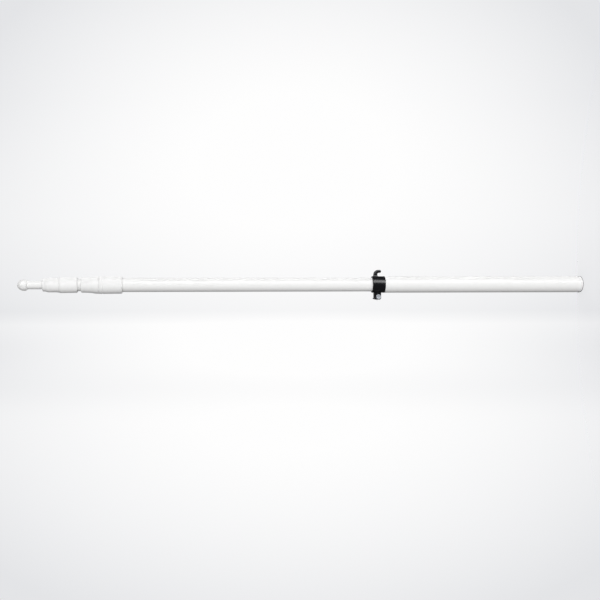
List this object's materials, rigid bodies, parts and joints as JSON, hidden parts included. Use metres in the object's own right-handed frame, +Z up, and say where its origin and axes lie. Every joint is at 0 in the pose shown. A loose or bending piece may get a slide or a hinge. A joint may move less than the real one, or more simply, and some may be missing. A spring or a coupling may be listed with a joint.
{
  "type": "telescopic flagpole",
  "caption": "White telescopic flagpole pushed together, with a round finial, twist-lock collars and a black clamp ring that carries a halyard hook.",
  "frame": {"origin": "centre of the flat bottom face of the base tube's end cap", "axes": "+Z up the pole towards the finial; +X towards the halyard hook; -X towards the clamp's ears; -Y towards the bolt's head, +Y towards the wing nut"},
  "size_m": [0.0903, 0.0524, 1.7176],
  "materials": {
    "tube_paint": "gloss",
    "lock_plastic": "matte",
    "knob": "satin",
    "white_fitting": "satin",
    "black_fitting": "satin",
    "bush": "matte",
    "zinc": "satin"
  },
  "bodies": {
    "base": {"base_tube": "tube_paint", "base_end_cap": "white_fitting", "clamp_ring": "black_fitting", "halyard_hook": "black_fitting", "clamp_bolt": "zinc", "bolt_washer": "zinc", "nut_washer": "zinc"},
    "clamp_wing_nut": {"wing_nut": "zinc"},
    "lower_section": {"lower_tube": "tube_paint", "lower_foot_bush": "bush", "lower_lock_sleeve": "lock_plastic", "lower_lock_collet": "bush"},
    "lower_nut": {"lower_lock_nut": "lock_plastic"},
    "middle_section": {"middle_tube": "tube_paint", "middle_foot_bush": "bush", "upper_lock_sleeve": "lock_plastic", "upper_lock_collet": "bush"},
    "upper_nut": {"upper_lock_nut": "lock_plastic"},
    "top_section": {"top_tube": "tube_paint", "top_foot_bush": "bush", "finial_knob": "knob"}
  },
  "joints": [
    {"name": "lower_slide", "type": "slide", "parent": "base", "child": "lower_section", "axis": [0, 0, 1], "range_m": [0, 0.52]},
    {"name": "middle_slide", "type": "slide", "parent": "lower_section", "child": "middle_section", "axis": [0, 0, 1], "range_m": [0, 1.35]},
    {"name": "top_slide", "type": "slide", "parent": "middle_section", "child": "top_section", "axis": [0, 0, 1], "range_m": [0, 1.41]},
    {"name": "lower_lock_twist", "type": "hinge", "parent": "lower_section", "child": "lower_nut", "pos_m": [0, 0, 1.482], "axis": [0, 0, 1], "range_deg": [0, 180]},
    {"name": "upper_lock_twist", "type": "hinge", "parent": "middle_section", "child": "upper_nut", "pos_m": [0, 0, 1.5955], "axis": [0, 0, 1], "range_deg": [0, 180]},
    {"name": "wing_nut_turn", "type": "hinge", "parent": "base", "child": "clamp_wing_nut", "pos_m": [-0.038, 0.0101, 0.646], "axis": [0, 1, 0], "continuous": true}
  ]
}
